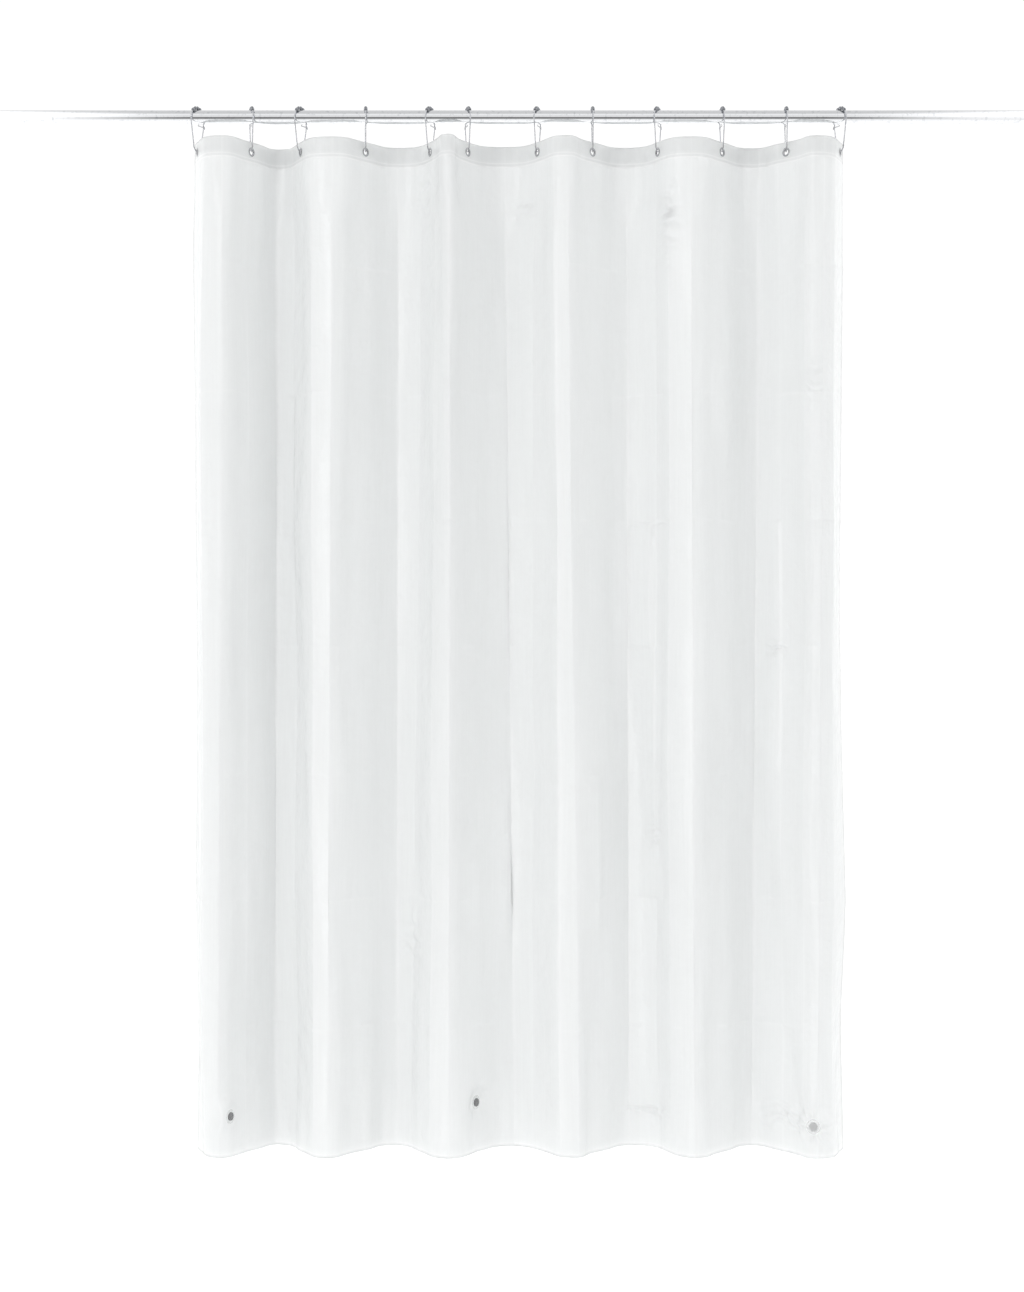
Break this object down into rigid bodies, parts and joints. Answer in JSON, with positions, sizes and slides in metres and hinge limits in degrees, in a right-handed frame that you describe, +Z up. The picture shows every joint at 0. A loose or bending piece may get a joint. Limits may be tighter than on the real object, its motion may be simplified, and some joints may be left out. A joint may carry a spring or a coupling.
{
  "type": "shower curtain",
  "caption": "Translucent white film shower curtain with a welded header, metal eyelets and weighted hem, hung on roller hooks that slide along a straight chrome rod.",
  "frame": {"origin": "centre of the left foot's outer face, on the rod's axis, where the rod meets the left wall", "axes": "+X along the rod from the left wall to the right wall, +Z up, -Y towards the room side that the curtain is looked at from"},
  "size_m": [1.93, 0.1353, 1.8938],
  "materials": {
    "rod_chrome": "bright chrome plate on steel tube",
    "foot_rubber": "pale grey moulded rubber",
    "liner_film": "soft translucent white film, calendered, satin gloss",
    "header_film": "doubled translucent white film, heat welded",
    "hook_steel": "polished plated wire",
    "roller_steel": "polished steel balls",
    "eyelet_metal": "nickel plated, stamped",
    "pocket_film": "clear white film, welded round its rim",
    "magnet_ferrite": "dull grey sintered ferrite"
  },
  "bodies": {
    "rod": {"rod_tube": "rod_chrome", "rod_foot_left": "foot_rubber", "rod_foot_right": "foot_rubber"},
    "curtain": {"liner_sheet": "liner_film", "header_band": "header_film"},
    "hook_01": {"hook_wire_01": "hook_steel", "hook_rollers_01": "roller_steel", "eyelet_front_01": "eyelet_metal", "eyelet_back_01": "eyelet_metal"},
    "hook_02": {"hook_wire_02": "hook_steel", "hook_rollers_02": "roller_steel", "eyelet_front_02": "eyelet_metal", "eyelet_back_02": "eyelet_metal"},
    "hook_03": {"hook_wire_03": "hook_steel", "hook_rollers_03": "roller_steel", "eyelet_front_03": "eyelet_metal", "eyelet_back_03": "eyelet_metal"},
    "hook_04": {"hook_wire_04": "hook_steel", "hook_rollers_04": "roller_steel", "eyelet_front_04": "eyelet_metal", "eyelet_back_04": "eyelet_metal"},
    "hook_05": {"hook_wire_05": "hook_steel", "hook_rollers_05": "roller_steel", "eyelet_front_05": "eyelet_metal", "eyelet_back_05": "eyelet_metal"},
    "hook_06": {"hook_wire_06": "hook_steel", "hook_rollers_06": "roller_steel", "eyelet_front_06": "eyelet_metal", "eyelet_back_06": "eyelet_metal"},
    "hook_07": {"hook_wire_07": "hook_steel", "hook_rollers_07": "roller_steel", "eyelet_front_07": "eyelet_metal", "eyelet_back_07": "eyelet_metal"},
    "hook_08": {"hook_wire_08": "hook_steel", "hook_rollers_08": "roller_steel", "eyelet_front_08": "eyelet_metal", "eyelet_back_08": "eyelet_metal"},
    "hook_09": {"hook_wire_09": "hook_steel", "hook_rollers_09": "roller_steel", "eyelet_front_09": "eyelet_metal", "eyelet_back_09": "eyelet_metal"},
    "hook_10": {"hook_wire_10": "hook_steel", "hook_rollers_10": "roller_steel", "eyelet_front_10": "eyelet_metal", "eyelet_back_10": "eyelet_metal"},
    "hook_11": {"hook_wire_11": "hook_steel", "hook_rollers_11": "roller_steel", "eyelet_front_11": "eyelet_metal", "eyelet_back_11": "eyelet_metal"},
    "hook_12": {"hook_wire_12": "hook_steel", "hook_rollers_12": "roller_steel", "eyelet_front_12": "eyelet_metal", "eyelet_back_12": "eyelet_metal"},
    "hem_left": {"magnet_left": "magnet_ferrite", "magnet_pocket_left": "pocket_film"},
    "hem_middle": {"magnet_middle": "magnet_ferrite", "magnet_pocket_middle": "pocket_film"},
    "hem_right": {"magnet_right": "magnet_ferrite", "magnet_pocket_right": "pocket_film"}
  },
  "joints": [
    {"name": "swing", "type": "hinge", "parent": "rod", "child": "curtain", "pos_m": [0.965, 0, 0], "axis": [1, 0, 0], "range_deg": [-15, 15]},
    {"name": "draw", "type": "slide", "parent": "curtain", "child": "hook_12", "axis": [-1, 0, 0], "range_m": [0, 1.07086], "deforming": ["liner_sheet", "header_band"]},
    {"name": "draw_hook_01", "type": "slide", "parent": "curtain", "child": "hook_01", "axis": [-1, 0, 0], "range_m": [0, 0.25636]},
    {"name": "draw_hook_02", "type": "slide", "parent": "curtain", "child": "hook_02", "axis": [-1, 0, 0], "range_m": [0, 0.32496]},
    {"name": "draw_hook_03", "type": "slide", "parent": "curtain", "child": "hook_03", "axis": [-1, 0, 0], "range_m": [0, 0.38726]},
    {"name": "draw_hook_04", "type": "slide", "parent": "curtain", "child": "hook_04", "axis": [-1, 0, 0], "range_m": [0, 0.46986]},
    {"name": "draw_hook_05", "type": "slide", "parent": "curtain", "child": "hook_05", "axis": [-1, 0, 0], "range_m": [0, 0.55176]},
    {"name": "draw_hook_06", "type": "slide", "parent": "curtain", "child": "hook_06", "axis": [-1, 0, 0], "range_m": [0, 0.59936]},
    {"name": "draw_hook_07", "type": "slide", "parent": "curtain", "child": "hook_07", "axis": [-1, 0, 0], "range_m": [0, 0.68756]},
    {"name": "draw_hook_08", "type": "slide", "parent": "curtain", "child": "hook_08", "axis": [-1, 0, 0], "range_m": [0, 0.75756]},
    {"name": "draw_hook_09", "type": "slide", "parent": "curtain", "child": "hook_09", "axis": [-1, 0, 0], "range_m": [0, 0.84016]},
    {"name": "draw_hook_10", "type": "slide", "parent": "curtain", "child": "hook_10", "axis": [-1, 0, 0], "range_m": [0, 0.92206]},
    {"name": "draw_hook_11", "type": "slide", "parent": "curtain", "child": "hook_11", "axis": [-1, 0, 0], "range_m": [0, 1.00326]},
    {"name": "draw_hem_left", "type": "slide", "parent": "curtain", "child": "hem_left", "axis": [-1, 0, 0], "range_m": [0, 0.30228]},
    {"name": "draw_hem_middle", "type": "slide", "parent": "curtain", "child": "hem_middle", "axis": [-1, 0, 0], "range_m": [0, 0.60923]},
    {"name": "draw_hem_right", "type": "slide", "parent": "curtain", "child": "hem_right", "axis": [-1, 0, 0], "range_m": [0, 1.03287]}
  ],
  "couplings": [
    {"joint": "draw_hook_01", "follows": "draw", "ratio": 0.23846},
    {"joint": "draw_hook_02", "follows": "draw", "ratio": 0.30252},
    {"joint": "draw_hook_03", "follows": "draw", "ratio": 0.3607},
    {"joint": "draw_hook_04", "follows": "draw", "ratio": 0.43783},
    {"joint": "draw_hook_05", "follows": "draw", "ratio": 0.51432},
    {"joint": "draw_hook_06", "follows": "draw", "ratio": 0.55877},
    {"joint": "draw_hook_07", "follows": "draw", "ratio": 0.64113},
    {"joint": "draw_hook_08", "follows": "draw", "ratio": 0.7065},
    {"joint": "draw_hook_09", "follows": "draw", "ratio": 0.78363},
    {"joint": "draw_hook_10", "follows": "draw", "ratio": 0.86011},
    {"joint": "draw_hook_11", "follows": "draw", "ratio": 0.93594},
    {"joint": "draw_hem_left", "follows": "draw", "ratio": 0.28134},
    {"joint": "draw_hem_middle", "follows": "draw", "ratio": 0.56798},
    {"joint": "draw_hem_right", "follows": "draw", "ratio": 0.96359}
  ]
}
